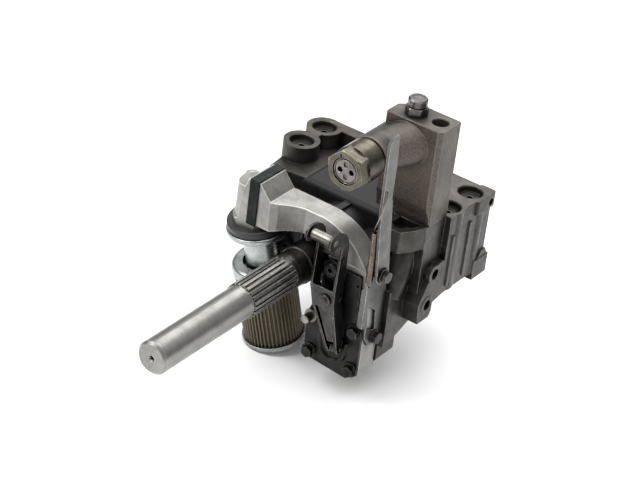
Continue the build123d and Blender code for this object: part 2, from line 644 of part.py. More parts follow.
def filter_cap():
    height = MESH_DEPTH - CAP_DEPTH
    cap = Cylinder(FILTER_R + 1, height, align=BASE)
    cap = fillet(cap.edges().group_by(Axis.Z)[-1], 5)
    cap += Cylinder(FILTER_R + 1, 3, align=BASE)
    cap -= Cylinder(TUBE_R + 3.2, height, align=BASE)
    cap += ring(TUBE_R + 3.4, TUBE_R + 0.05, 5)
    return on_filter_axis(cap, MESH_DEPTH)


def filter_mesh():
    """Pleated wire cloth between the two end caps."""
    points = []
    for index in range(2 * PLEATS):
        radius = MESH_R if index % 2 == 0 else MESH_R - 2.0
        for turn in (-0.22, 0.22):
            angle = 2 * math.pi * (index + turn) / (2 * PLEATS)
            points.append((radius * math.cos(angle), radius * math.sin(angle)))
    height = BASE_DEPTH - MESH_DEPTH
    cloth = extrude(make_face(Polyline(*points, close=True)), height)
    return on_filter_axis(cloth - Cylinder(MESH_R - 3.6, height, align=BASE), BASE_DEPTH)


def filter_core():
    """Perforated tube that holds the cloth open."""
    height = BASE_DEPTH - MESH_DEPTH
    tube = ring(TUBE_R + 1.5, TUBE_R, height)
    for row in range(4):
        for turn in range(4):
            hole = Rot(0, 0, 45 * turn + 22.5 * (row % 2)) * Rot(90, 0, 0) * Cylinder(4, 60)
            tube -= Pos(0, 0, height * (row + 0.5) / 4) * hole
    return on_filter_axis(tube, BASE_DEPTH)


def filter_base():
    height = FILTER_END - BASE_DEPTH
    disc = Cylinder(FILTER_R + 1, height, align=BASE)
    disc = fillet(disc.edges().group_by(Axis.Z)[0], 1.5)
    disc -= Pos(0, 0, -0.01) * Cylinder(FILTER_R - 6, 1.5, align=BASE)
    return on_filter_axis(disc, FILTER_END)


# ---------------------------------------------------------------- control plate and lever

def control_plate():
    outline = [(24, 10), (68, 10), (69.3, -10), (68.8, -28), (77, -37), (COVER_RIGHT, -50), (COVER_RIGHT, -104),
               (65, -112.5), (12.5, -108), (10, -70), (8.4, -62), (15.8, -43.5), (22, -20)]
    sheet = plate_y(outline, PLATE_FRONT, PAD_FRONT)
    sheet = fillet(sheet.edges().filter_by(Axis.Y), 1.5)
    ridge = Plane.XZ.offset(-PLATE_FRONT) * ridge_path()
    tube = sweep(Plane(origin=ridge @ 0, z_dir=ridge % 0) * Circle(2.6), path=ridge)
    sheet += tube & block(0, 90, PLATE_FRONT - 5, PAD_FRONT, -120, 0)
    for x, z in PLATE_BOLTS:
        sheet -= rod_y(PLATE_BOLT_HOLE_R, 100, 120, x, z)
    sheet -= rod_y(4.0, 100, 120, STUB_X, STUB_Z)
    sheet -= rod_y(1.7, 100, 120, 65.0, -1.5)
    return sheet - rod_y(8.2, 100, 120, SPOOL_X, SPOOL_Z)


def ridge_path():
    """U-shaped pressed ridge round the foot of the lever."""
    left = Line((29.5, -68), (29.5, -82))
    bottom = ThreePointArc((29.5, -82), (45, -98.5), (61, -82))
    right = Line((61, -82), (61, -72))
    return left + bottom + right


def cover_bolts():
    bolts = []
    for x, z in PLATE_BOLTS:
        bolts.append(facing((x, PLATE_FRONT, z), (0, -1, 0), bolt(11, 5.5, 3.15, 44, 8.2, 1.4)))
    return Compound(bolts)


def stub_pin():
    """Shouldered pin standing out of the plate's left tip."""
    pin = rod_y(4.6, 95.0, PLATE_FRONT - 2.5, STUB_X, STUB_Z)
    pin = chamfer(pin.edges().group_by(Axis.Y)[0], 0.8)
    collar = rod_y(7.4, PLATE_FRONT - 3, PLATE_FRONT, STUB_X, STUB_Z)
    collar = fillet(collar.edges().group_by(Axis.Y)[0], 1)
    return pin + collar + rod_y(3.9, PLATE_FRONT - 1, 121, STUB_X, STUB_Z)


def spool_boss():
    """Stepped round boss on the plate, seen through the lever's window."""
    boss = rod_y(10.5, 104.5, PLATE_FRONT, 35.0, 6.5) + rod_y(7.6, 101.5, 105, 35.0, 6.5)
    boss = chamfer(boss.edges().filter_by(GeomType.CIRCLE).group_by(Axis.Y)[0], 0.8)
    boss += block(27, 43, 103, PLATE_FRONT, -6, 2)
    return boss - rod_y(2.6, 100, 107, 35.0, 6.5)


def pivot_lug():
    y, z = LEVER_PIVOT
    lug = block(50.6, 55.4, y, PLATE_FRONT, z - 5, z + 5) + rod_x(5.0, 50.6, 55.4, y, z)
    foot = block(46.5, 57.5, PLATE_FRONT - 2, PLATE_FRONT, z - 7, z + 7)
    return lug + fillet(foot.edges().filter_by(Axis.Y), 2) - rod_x(2.5, 45, 60, y, z)


def control_lever():
    """Pressed channel: two side plates joined by a web, closing together towards the pivot."""
    left, right, sheet = LEVER_LEFT, LEVER_RIGHT, LEVER_SHEET
    left_rail = plate_y([(left, 70), (left + sheet, 70), (left + sheet, -10.5), (left + 8, -31), (49.8, -82),
                         (46.8, -82), (left + 5.5, -32), (left, -10)], 60, 112)
    right_rail = plate_y([(right - sheet, 70), (right, 70), (right, -22), (60.0, -82), (57.2, -82),
                          (right - sheet, -22.5)], 60, 112)
    side = plate_x([(91, -30), (90.8, -5), (93.6, 42), (88.5, 47.5), (80, 50), (79.3, 64.8), (88, 63.5),
                    (97, 58.5), (102.5, 52), (105.5, 43), (105.5, -40), (104.5, -76), (103, -81), (97, -81.5),
                    (95, -76)], 10, 70)
    y, z = ROLLER_CENTRE
    side += rod_x(9.3, 10, 70, y, z)
    rails = (left_rail + right_rail) & side
    web = plate_y([(left, -8.5), (right, -8.5), (right, -22), (52.4, -31), (52.6, -38), (46, -35.5), (37, -30.5),
                   (28, -31.5), (25.8, -32), (left, -10)], 91, 93.4)
    lever = rails + web
    lever -= rod_x(2.5, 0, 80, y, z)
    lever -= rod_x(1.8, 0, 80, *SPACER_CENTRE)
    lever -= rod_x(2.0, 0, 80, *LINK_CENTRE)
    lever -= rod_x(2.5 + RUN_CLEARANCE, 0, 80, *LEVER_PIVOT)
    return lever - rod_y(SPOOL_EYE_R, 85, 97, SPOOL_X, SPOOL_Z)


def lever_pin(radius, centre, x0, x1, head_r, head=1.2):
    y, z = centre
    pin = rod_x(radius, x0 - head, x1 + head, y, z)
    for start in (x0 - head, x1):
        pin += rod_x(head_r, start, start + head, y, z)
    return pin


def lever_roller():
    y, z = ROLLER_CENTRE
    x0, x1 = LEVER_LEFT + LEVER_SHEET + 0.4, LEVER_RIGHT - LEVER_SHEET - 0.4
    roller = ends_chamfered(rod_x(ROLLER_R, x0, x1, y, z), Axis.X, 0.6)
    return roller - rod_x(2.5 + RUN_CLEARANCE, x0, x1, y, z)


def roller_pin():
    return lever_pin(2.5, ROLLER_CENTRE, LEVER_LEFT, LEVER_RIGHT, 3.4, 0.8)


def lever_cross_pins():
    """The upper spacer pin and the pin that works the spool."""
    upper = lever_pin(1.8, SPACER_CENTRE, LEVER_LEFT, LEVER_RIGHT, 2.7, 0.9)
    lower = lever_pin(2.0, LINK_CENTRE, LEVER_LEFT, LEVER_RIGHT + 0.3, 2.9, 0.9)
    return Compound([upper, lower])


def pivot_pin():
    y, z = LEVER_PIVOT
    return rod_x(2.5, 44.5, 61.5, y, z)


def inner_link():
    """Leaf behind the lever's web, reaching down between the side plates."""
    leaf = plate_y([(24.5, -11), (47.5, -11), (47.5, -22), (49.6, -38), (54.2, -66), (47.8, -67.5), (35, -40),
                    (29.4, -30)], 93.4, 94.9)
    return leaf - rod_y(SPOOL_EYE_R, 85, 97, SPOOL_X, SPOOL_Z)


def control_spool():
    """Valve spool; its front end carries two washers, one each side of the lever's web."""
    spool = rod_y(SPOOL_R, 112.5, 165, SPOOL_X, SPOOL_Z)
    for groove in (120, 134, 148):
        outside = rod_y(SPOOL_R + 1, groove, groove + 5, SPOOL_X, SPOOL_Z)
        spool -= outside - rod_y(4.0, groove - 1, groove + 6, SPOOL_X, SPOOL_Z)
    stem = rod_y(4.6, 96, 113, SPOOL_X, SPOOL_Z) - block(30, 50, 99.2, 103.8, SPOOL_Z - 2.9, SPOOL_Z + 2.9)
    nose = rod_y(3.2, 87.5, 97, SPOOL_X, SPOOL_Z)
    nose = fillet(nose.edges().group_by(Axis.Y)[0], 1)
    return spool + stem + nose


def spool_washer():
    washer = rod_y(6.4, 88.6, 90.2, SPOOL_X, SPOOL_Z) - rod_y(3.2, 88, 91, SPOOL_X, SPOOL_Z)
    return chamfer(washer.edges().group_by(Axis.Y)[0].sort_by(SortBy.RADIUS)[-1], 0.5)


def spool_spring():
    return Plane(origin=(SPOOL_X, 165.7, SPOOL_Z), z_dir=(0, 1, 0)) * coil(4.2, 1.0, 5.4, 2.5)


# ---------------------------------------------------------------- bracket and blade

def side_bracket():
    """Bent, slotted sheet bolted to the cover's right side."""
    x0, x1 = BRACKET_X
    y, z = BLADE_PIVOT
    main = plate_x([(105.5, 5), (105.5, z), (y + 8, z), (126, 0)], x0, x1)
    main += rod_x(8.0, x0, x1, y, z) - block(x0 - 1, x1 + 1, 100, 105.5, 10, 40)
    main += plate_x([(101.5, 11), (136, 0), (138.5, -20), (137.5, -57), (130, -68), (118, -70), (110, -58),
                     (109, -44), (101.5, -42)], x0, x1)
    main -= plate_x([(107.8, -17), (123.4, -29), (126, -53), (112, -48)], x0 - 1, x1 + 1)
    flange = block(x0 - BRACKET_FLANGE, x1, 101.5, 104, -42, 4)
    flange = chamfer(flange.edges().filter_by(Axis.Y).group_by(Axis.X)[0], 2)
    bracket = main + flange
    bracket -= rod_x(1.3, x0 - 10, x1 + 1, *SPRING_HOLE)
    bracket -= rod_x(3.0, x0 - 1, x1 + 1, y, z)
    return bracket - rod_x(3.2, x0 - 1, x1 + 1, *BRACKET_BOLT)


def bracket_bolt():
    x1 = BRACKET_X[1]
    return facing((x1, *BRACKET_BOLT), (1, 0, 0), bolt(11, 5.5, 3.1, 14, 7.5, 1.2))


def blade_lever():
    x0, x1 = BLADE_X
    y, z = BLADE_PIVOT
    blade = plate_x([(91.9, 131), (91.2, 175), (95.5, 182.5), (103.5, 184.5), (105.6, 180), (108.2, 150),
                     (108.0, 112), (109.8, 108), (y + 10.3, z + 2), (y + 8, z - 4), (y - 8, z - 4),
                     (y - 10.2, z + 2), (92.5, 96)], x0, x1)
    blade += rod_x(10.5, x0, x1, y, z)
    blade -= rod_x(3.0 + RUN_CLEARANCE, x0 - 1, x1 + 1, y, z)
    return blade - rod_x(1.5, x0 - 1, x1 + 1, *SPRING_EYE)


def blade_bolt():
    y, z = BLADE_PIVOT
    head = facing((BLADE_X[1] + 2.0, y, z), (1, 0, 0), hexagon(11, 5.5))
    return head + rod_x(3.0, BRACKET_X[0] - 4.5, BLADE_X[1] + 3, y, z)


def blade_spacers():
    """Spacer tube, two washers and the nut behind the bracket."""
    y, z = BLADE_PIVOT
    spacer = rod_x(5.5, BRACKET_X[1], BLADE_X[0] - 1.7, y, z) - rod_x(3.0, 70, 100, y, z)
    inner = rod_x(8.0, BLADE_X[0] - 1.7, BLADE_X[0] - 0.2, y, z) - rod_x(3.0, 70, 100, y, z)
    outer = rod_x(8.0, BLADE_X[1] + 0.3, BLADE_X[1] + 2.0, y, z) - rod_x(3.0, 70, 100, y, z)
    nut = facing((BRACKET_X[0] - 4.5, y, z), (1, 0, 0), hexagon(10, 4.5)) - rod_x(3.0, 70, 100, y, z)
    return Compound([spacer, inner, outer, nut])


def tension_spring():
    """Close-wound spring body as a grooved tube, with its two end wires."""
    direction = SPRING_TOP - SPRING_BOTTOM
    length = direction.length
    body = ring(SPRING_COIL_R, SPRING_COIL_R - SPRING_WIRE, length)
    cap = Cylinder(SPRING_COIL_R, 1.2, align=BASE)
    caps = cap + Pos(0, 0, length - 1.2) * cap
    spring = facing(SPRING_BOTTOM, direction.normalized(), body + caps)
    eye_y, eye_z = SPRING_EYE
    upper = Vector(BLADE_X[0] - 0.9, eye_y, eye_z)
    reach = upper - SPRING_TOP
    spring += rod(0.55, SPRING_TOP, reach.normalized(), reach.length)
    spring += rod_x(0.55, upper.X - 0.3, BLADE_X[1] + 0.8, eye_y, eye_z)
    lower = Vector(BRACKET_X[1] + 0.9, *SPRING_HOLE)
    start = SPRING_BOTTOM + Vector(0, 0, 1)
    drop = lower - start
    spring += rod(0.55, start, drop.normalized(), drop.length)
    return spring + rod_x(0.55, BRACKET_X[0] - 0.9, lower.X + 0.3, *SPRING_HOLE)


NODES = {
    "drive_shaft": drive_shaft(),
    "camshaft": camshaft(),
    "cylinder_liners": cylinder_liners(),
    "front_bush": front_bush(),
    "rear_bush": rear_bush(),
    "shaft_seal": shaft_seal(),
    "pump_body": pump_body(),
    "left_valve_chest": left_valve_chest(),
    "right_valve_chest": right_valve_chest(),
    "control_valve_housing": control_valve_housing(),
    "rear_cover": rear_cover(),
    "rear_cover_bolts": rear_cover_bolts(),
    "front_cover": front_cover(),
    "cover_gasket": cover_gasket(),
    "housing_clip": housing_clip(),
    "valve_retainers": valve_retainers(),
    "relief_block": relief_block(),
    "block_bolt": block_bolt(),
    "relief_valve_body": relief_valve_body(),
    "relief_adjuster": relief_adjuster(),
    "relief_poppet": relief_poppet(),
    "relief_spring": relief_spring(),
    "filter_seal": filter_seal(),
    "suction_tube": suction_tube(),
    "filter_cap": filter_cap(),
    "filter_mesh": filter_mesh(),
    "filter_core": filter_core(),
    "filter_base": filter_base(),
    "control_plate": control_plate(),
    "cover_bolts": cover_bolts(),
    "stub_pin": stub_pin(),
    "spool_boss": spool_boss(),
    "pivot_lug": pivot_lug(),
    "control_lever": control_lever(),
    "lever_roller": lever_roller(),
    "roller_pin": roller_pin(),
    "lever_cross_pins": lever_cross_pins(),
    "pivot_pin": pivot_pin(),
    "inner_link": inner_link(),
    "control_spool": control_spool(),
    "spool_washer": spool_washer(),
    "spool_spring": spool_spring(),
    "side_bracket": side_bracket(),
    "bracket_bolt": bracket_bolt(),
    "blade_lever": blade_lever(),
    "blade_bolt": blade_bolt(),
    "blade_spacers": blade_spacers(),
    "tension_spring": tension_spring(),
}
for row_name, row_y, row_side in ROWS:
    NODES[f"cam_block_{row_name}"] = cam_block(row_y, row_side)
    NODES[f"piston_yoke_{row_name}"] = piston_yoke(row_y)
    NODES[f"piston_{row_name}_left"] = piston(row_y, -1)
    NODES[f"piston_{row_name}_right"] = piston(row_y, 1)
    for side_name, port_x in SIDES:
        NODES[f"valve_ball_{row_name}_{side_name}"] = valve_ball(port_x, row_y)

for node_name, shape in NODES.items():
    export_step(shape, f"parts/{node_name}.step")
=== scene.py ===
import json
import math

import bpy
from mathutils import Matrix, Vector


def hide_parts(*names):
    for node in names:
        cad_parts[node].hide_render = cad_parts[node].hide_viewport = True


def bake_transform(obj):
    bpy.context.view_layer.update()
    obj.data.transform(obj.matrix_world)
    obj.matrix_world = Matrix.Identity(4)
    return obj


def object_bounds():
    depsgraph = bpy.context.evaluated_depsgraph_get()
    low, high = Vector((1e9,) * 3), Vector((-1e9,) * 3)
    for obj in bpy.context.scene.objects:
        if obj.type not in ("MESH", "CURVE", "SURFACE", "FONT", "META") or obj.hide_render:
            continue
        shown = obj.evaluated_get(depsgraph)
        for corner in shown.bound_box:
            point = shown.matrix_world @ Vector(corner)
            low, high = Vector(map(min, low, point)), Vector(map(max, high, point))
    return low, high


# Looks of the hydraulic lift pump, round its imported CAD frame. Lengths are in metres.

MM = 0.001

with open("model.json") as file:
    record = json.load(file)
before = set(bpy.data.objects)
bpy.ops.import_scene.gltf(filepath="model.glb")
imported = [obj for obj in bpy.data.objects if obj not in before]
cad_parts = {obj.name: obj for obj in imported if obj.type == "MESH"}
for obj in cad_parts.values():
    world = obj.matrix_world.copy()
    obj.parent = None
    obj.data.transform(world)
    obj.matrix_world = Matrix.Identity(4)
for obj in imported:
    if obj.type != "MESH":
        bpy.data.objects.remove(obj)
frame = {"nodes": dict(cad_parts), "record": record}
NODES = frame["nodes"]
CAD_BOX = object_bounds()


# ---------------------------------------------------------------- helpers

def in_mm(*point):
    """A point whose coordinates are given in millimetres."""
    return Vector(point) * MM


def placed(name, data):
    """A new object in the scene that holds the given data."""
    item = bpy.data.objects.new(name, data)
    bpy.context.scene.collection.objects.link(item)
    return item


def looking(place, aim):
    """Placement of a camera or lamp at one point, turned towards another."""
    place = Vector(place)
    turn = (Vector(aim) - place).to_track_quat("-Z", "Y").to_matrix().to_4x4()
    return Matrix.Translation(place) @ turn


# ---------------------------------------------------------------- shader graphs

# A Mix node has sockets for each data type under the same names, so its colour sockets go by number.
MIX_COLOURS = (6, 7)
MIX_RESULT = 2

# How far noise is stretched along each axis, as a scale: a small number makes long marks.
RINGS_ROUND_Y = (0.1, 1.0, 0.1)
UPRIGHT_MARKS = (1.0, 1.0, 0.06)


class Graph:
    """A node material under construction. Coordinates are the row frame's, in metres."""

    def __init__(self, name):
        self.material = bpy.data.materials.new(name)
        self.material.use_nodes = True
        self.tree = self.material.node_tree
        self.tree.nodes.clear()
        self.output = self.add("ShaderNodeOutputMaterial")
        self.shader = self.add("ShaderNodeBsdfPrincipled")
        self.link(self.shader.outputs[0], self.output.inputs[0])
        self.place = self.add("ShaderNodeTexCoord").outputs["Object"]

    def add(self, kind, **settings):
        node = self.tree.nodes.new(kind)
        for key, value in settings.items():
            setattr(node, key, value)
        return node

    def link(self, source, target):
        self.tree.links.new(source, target)

    def feed(self, target, value):
        """Link a socket, or set a plain value."""
        if isinstance(value, bpy.types.NodeSocket):
            self.link(value, target)
        else:
            target.default_value = value

    def math(self, operation, first, second=0.0):
        node = self.add("ShaderNodeMath", operation=operation)
        self.feed(node.inputs[0], first)
        self.feed(node.inputs[1], second)
        return node.outputs[0]

    def stretched(self, stretch):
        """Coordinates scaled per axis, for grain that runs one way."""
        node = self.add("ShaderNodeMapping")
        self.link(self.place, node.inputs["Vector"])
        node.inputs["Scale"].default_value = stretch
        return node.outputs[0]

    def noise(self, size, detail=4.0, roughness=0.6, stretch=None):
        """Noise whose features are about size metres across."""
        node = self.add("ShaderNodeTexNoise")
        self.link(self.stretched(stretch) if stretch else self.place, node.inputs["Vector"])
        node.inputs["Scale"].default_value = 1.0 / size
        node.inputs["Detail"].default_value = detail
        node.inputs["Roughness"].default_value = roughness
        return node.outputs["Fac"]

    def cells(self, size):
        """Distance to the nearest of points scattered about size metres apart."""
        node = self.add("ShaderNodeTexVoronoi")
        self.link(self.place, node.inputs["Vector"])
        node.inputs["Scale"].default_value = 1.0 / size
        return node.outputs["Distance"]

    def ramp(self, value, low, high, start=0.0, end=1.0):
        """Map low..high onto start..end, held at both ends."""
        node = self.add("ShaderNodeMapRange", clamp=True)
        self.feed(node.inputs["Value"], value)
        node.inputs["From Min"].default_value = low
        node.inputs["From Max"].default_value = high
        node.inputs["To Min"].default_value = start
        node.inputs["To Max"].default_value = end
        return node.outputs[0]

    def mix(self, factor, first, second):
        """The first colour where the factor is 0, the second where it is 1."""
        node = self.add("ShaderNodeMix", data_type="RGBA")
        self.feed(node.inputs["Factor"], factor)
        for number, colour in zip(MIX_COLOURS, (first, second)):
            opaque = colour if isinstance(colour, bpy.types.NodeSocket) else (*colour, 1.0)
            self.feed(node.inputs[number], opaque)
        return node.outputs[MIX_RESULT]

    def axis(self, letter):
        """The coordinate along X, Y or Z."""
        node = self.add("ShaderNodeSeparateXYZ")
        self.link(self.place, node.inputs[0])
        return node.outputs[letter]

    def facing(self, direction, low=0.8, high=0.95):
        """1 where the surface faces a fixed direction of the world."""
        normal = self.add("ShaderNodeNewGeometry").outputs["True Normal"]
        node = self.add("ShaderNodeVectorMath", operation="DOT_PRODUCT")
        self.link(normal, node.inputs[0])
        node.inputs[1].default_value = direction
        return self.ramp(node.outputs["Value"], low, high)

    def edges(self, radius, low=0.02, high=0.25):
        """1 along the edges of the piece, fading over radius metres."""
        bevel = self.add("ShaderNodeBevel", samples=4)
        bevel.inputs["Radius"].default_value = radius
        normal = self.add("ShaderNodeNewGeometry").outputs["Normal"]
        node = self.add("ShaderNodeVectorMath", operation="DOT_PRODUCT")
        self.link(bevel.outputs[0], node.inputs[0])
        self.link(normal, node.inputs[1])
        return self.ramp(self.math("SUBTRACT", 1.0, node.outputs["Value"]), low, high)

    def hollows(self, distance):
        """1 in corners and recesses, 0 in the open, from ambient occlusion: the mask for painted shade."""
        node = self.add("ShaderNodeAmbientOcclusion", samples=6)
        node.inputs["Distance"].default_value = distance
        return self.ramp(node.outputs["AO"], 0.35, 0.95, 1.0, 0.0)

    def bump(self, height, strength, depth, rounding=0.0):
        """Relief of a given depth in metres, over edges rounded in the shading."""
        node = self.add("ShaderNodeBump")
        node.inputs["Strength"].default_value = strength
        node.inputs["Distance"].default_value = depth
        self.link(height, node.inputs["Height"])
        if rounding:
            bevel = self.add("ShaderNodeBevel", samples=4)
            bevel.inputs["Radius"].default_value = rounding
            self.link(bevel.outputs[0], node.inputs["Normal"])
        self.link(node.outputs[0], self.shader.inputs["Normal"])

    def finish(self, colour, roughness, metallic):
        """Feed the shader, and give back the material."""
        self.feed(self.shader.inputs["Metallic"], metallic)
        self.feed(self.shader.inputs["Roughness"], roughness)
        self.link(colour, self.shader.inputs["Base Color"])
        return self.material


# ---------------------------------------------------------------- materials

# Near-black colour of the painted shade that ambient occlusion lays in corners and recesses.
HOLLOW_SHADE = (0.012, 0.011, 0.010)
EDGE_ROUNDING = 0.0006
RUBBED_WIDTH = 1.6 * EDGE_ROUNDING


def worn_metal(name, light, dark, edge, roughness, grain=0.0006, depth=0.00006, stretch=None,
               hollow_shade_amount=0.8):
    """Metal with cloudy colour, fine grain, bright rubbed edges and painted shade in its corners."""
    g = Graph(name)
    clouds = g.noise(0.018, 5.0)
    fine = g.noise(grain, 6.0, 0.7, stretch)
    colour = g.mix(g.ramp(clouds, 0.35, 0.65), dark, light)
    colour = g.mix(g.ramp(fine, 0.35, 0.7, 0.0, 0.35), colour, dark)
    rubbed = g.math("MULTIPLY", g.edges(RUBBED_WIDTH), g.ramp(g.noise(0.004), 0.3, 0.6))
    colour = g.mix(rubbed, colour, edge)
    # Painted shade: ambient occlusion darkens corners and recesses towards near black.
    colour = g.mix(g.math("MULTIPLY", g.hollows(0.006), hollow_shade_amount), colour, HOLLOW_SHADE)
    g.bump(fine, 0.6, depth, EDGE_ROUNDING)
    rough = g.ramp(g.noise(0.006, 4.0), 0.3, 0.7, roughness - 0.07, roughness + 0.1)
    return g.finish(colour, rough, 1.0)


def ground_steel():
    """Ground and polished steel, with fine rings round the drive axis."""
    return worn_metal("ground_steel", (0.36, 0.355, 0.34), (0.25, 0.245, 0.235), (0.66, 0.66, 0.64), 0.3,
                      grain=0.0008, depth=0.000012, stretch=RINGS_ROUND_Y)


# Bands in which one finish of the drive shaft gives way to the next: a radius, then three places along Y.
VALLEYS_TO_TIPS = (0.0182, 0.0188)
JOURNAL_TO_SPLINE = (-0.0002, 0.0002)
SPLINE_TO_BAND = (0.0665, 0.0685)
BAND_TO_SLEEVE = (0.078, 0.080)


def shaft_steel():
    """Drive shaft: ground journal, spline with rubbed tips over valleys painted dark as shade, rubbed band,
    dark sleeve, and a painted highlight along every edge.
    """
    g = Graph("shaft_steel")
    along = g.axis("Y")
    across = g.math("ADD", g.math("POWER", g.axis("X"), 2.0), g.math("POWER", g.axis("Z"), 2.0))
    radius = g.math("SQRT", across)
    rings = g.noise(0.0006, 6.0, 0.7, RINGS_ROUND_Y)
    stains = g.noise(0.02, 6.0, 0.65)
    bright = g.mix(g.ramp(rings, 0.3, 0.7), (0.20, 0.197, 0.19), (0.30, 0.296, 0.285))
    bright = g.mix(g.ramp(stains, 0.5, 0.75, 0.0, 0.6), bright, (0.145, 0.14, 0.13))
    # Painted shade: the spline's valleys, inside the radius of the tips, are near black.
    valley = g.mix(g.ramp(stains, 0.35, 0.65), (0.018, 0.017, 0.016), (0.05, 0.047, 0.043))
    tips = g.mix(g.ramp(g.noise(0.003), 0.3, 0.7), (0.085, 0.082, 0.078), (0.25, 0.243, 0.23))
    spline = g.mix(g.ramp(radius, *VALLEYS_TO_TIPS), valley, tips)
    sleeve = g.mix(g.ramp(stains, 0.35, 0.65), (0.022, 0.021, 0.020), (0.06, 0.056, 0.052))
    band = g.mix(g.ramp(g.noise(0.003), 0.4, 0.7), sleeve, (0.13, 0.12, 0.11))
    colour = g.mix(g.ramp(along, *JOURNAL_TO_SPLINE), bright, spline)
    colour = g.mix(g.ramp(along, *SPLINE_TO_BAND), colour, band)
    colour = g.mix(g.ramp(along, *BAND_TO_SLEEVE), colour, sleeve)
    # Painted highlight: every edge of the shaft is lightened evenly towards near white.
    colour = g.mix(g.edges(0.0008), colour, (0.62, 0.61, 0.59))
    g.bump(rings, 0.6, 0.000014, 0.0006)
    return g.finish(colour, g.ramp(stains, 0.3, 0.7, 0.3, 0.42), 1.0)


def hardened_steel():
    """Oil-darkened hard steel."""
    return worn_metal("hardened_steel", (0.060, 0.057, 0.054), (0.028, 0.027, 0.026), (0.34, 0.33, 0.31),
                      0.34, grain=0.0008, depth=0.00002)


def dark_steel():
    """Blackened pressed steel with rubbed rims."""
    return worn_metal("dark_steel", (0.085, 0.083, 0.081), (0.035, 0.034, 0.034), (0.42, 0.41, 0.39), 0.36,
                      grain=0.0007, depth=0.00003)


def bolt_steel():
    """Black oxide, oily and dark."""
    return worn_metal("bolt_steel", (0.040, 0.039, 0.038), (0.017, 0.017, 0.017), (0.27, 0.26, 0.24), 0.34,
                      grain=0.0007, depth=0.00003)


def worn_steel():
    """Plain steel of the roller and small pins, grey and a little brassy."""
    return worn_metal("worn_steel", (0.30, 0.285, 0.255), (0.17, 0.16, 0.145), (0.62, 0.60, 0.55), 0.32,
                      grain=0.0008, depth=0.00002)


def cap_steel():
    """Grey turned steel of the block's long bolt."""
    return worn_metal("cap_steel", (0.150, 0.143, 0.138), (0.066, 0.062, 0.060), (0.50, 0.49, 0.47), 0.3,
                      grain=0.0008, depth=0.00002)


def disc_steel():
    """Pinkish grey steel of the adjuster disc."""
    return worn_metal("disc_steel", (0.235, 0.212, 0.200), (0.115, 0.102, 0.096), (0.66, 0.63, 0.60), 0.26,
                      grain=0.0008, depth=0.00002)


def clip_steel():
    """Greenish black strip."""
    return worn_metal("clip_steel", (0.026, 0.030, 0.029), (0.011, 0.013, 0.013), (0.10, 0.11, 0.105), 0.42,
                      grain=0.0016, depth=0.00004)


def zinc_steel():
    """Bright zinc with soft dull patches, and lighter painted shade in its corners."""
    return worn_metal("zinc_steel", (0.42, 0.44, 0.43), (0.25, 0.27, 0.26), (0.80, 0.80, 0.80), 0.27,
                      grain=0.002, depth=0.00002, hollow_shade_amount=0.5)


def bracket_zinc():
    """Dull grey plating, rubbed bright along its edges."""
    return worn_metal("bracket_zinc", (0.145, 0.146, 0.14), (0.080, 0.081, 0.077), (0.66, 0.66, 0.64), 0.36,
                      grain=0.0012, depth=0.00002)


def yellow_zinc_steel():
    """Olive-brown plating over steel."""
    return worn_metal("yellow_zinc_steel", (0.150, 0.135, 0.105), (0.068, 0.060, 0.046), (0.52, 0.48, 0.40),
                      0.3, grain=0.0008, depth=0.00002)


def bronze():
    return worn_metal("bronze", (0.50, 0.34, 0.16), (0.30, 0.20, 0.09), (0.78, 0.60, 0.34), 0.35)


def spring_steel():
    """Copper-brown spring wire, with deeper painted shade in its corners."""
    return worn_metal("spring_steel", (0.34, 0.26, 0.205), (0.17, 0.125, 0.098), (0.66, 0.56, 0.47), 0.3,
                      grain=0.0008, depth=0.00002, hollow_shade_amount=0.95)


def cast_aluminium():
    """Sand-cast aluminium: grey and grainy, with painted highlights on its ridges and painted shade in its
    hollows.
    """
    g = Graph("cast_aluminium")
    grain = g.noise(0.0011, 8.0, 0.75)
    pits = g.ramp(g.cells(0.0016), 0.0, 0.35)
    height = g.math("ADD", grain, g.math("MULTIPLY", pits, 0.35))
    colour = g.mix(g.ramp(g.noise(0.02, 5.0), 0.35, 0.65), (0.24, 0.235, 0.22), (0.37, 0.365, 0.345))
    colour = g.mix(g.ramp(grain, 0.4, 0.75, 0.0, 0.55), colour, (0.15, 0.145, 0.13))
    colour = g.mix(g.ramp(g.noise(0.007, 5.0), 0.55, 0.8, 0.0, 0.5), colour, (0.13, 0.12, 0.105))
    # Painted highlight: every edge and ridge is lightened evenly towards near white.
    colour = g.mix(g.edges(0.0022, 0.01, 0.16), colour, (0.80, 0.80, 0.77))
    # Painted shade: ambient occlusion darkens corners and recesses towards near black.
    colour = g.mix(g.math("MULTIPLY", g.hollows(0.012), 0.85), colour, (0.03, 0.027, 0.024))
    g.bump(height, 0.6, 0.00025, 0.0016)
    return g.finish(colour, g.ramp(grain, 0.3, 0.7, 0.34, 0.52), 0.85)


def iron_colours(g, light, dark):
    """Brown-grey iron with clouds, stains and fine speckle."""
    colour = g.mix(g.ramp(g.noise(0.03, 6.0), 0.35, 0.65), dark, light)
    colour = g.mix(g.ramp(g.noise(0.009, 5.0), 0.5, 0.8, 0.0, 0.45), colour, (0.060, 0.048, 0.038))
    return g.mix(g.ramp(g.noise(0.0012, 6.0), 0.5, 0.75, 0.0, 0.4), colour, (0.022, 0.020, 0.018))


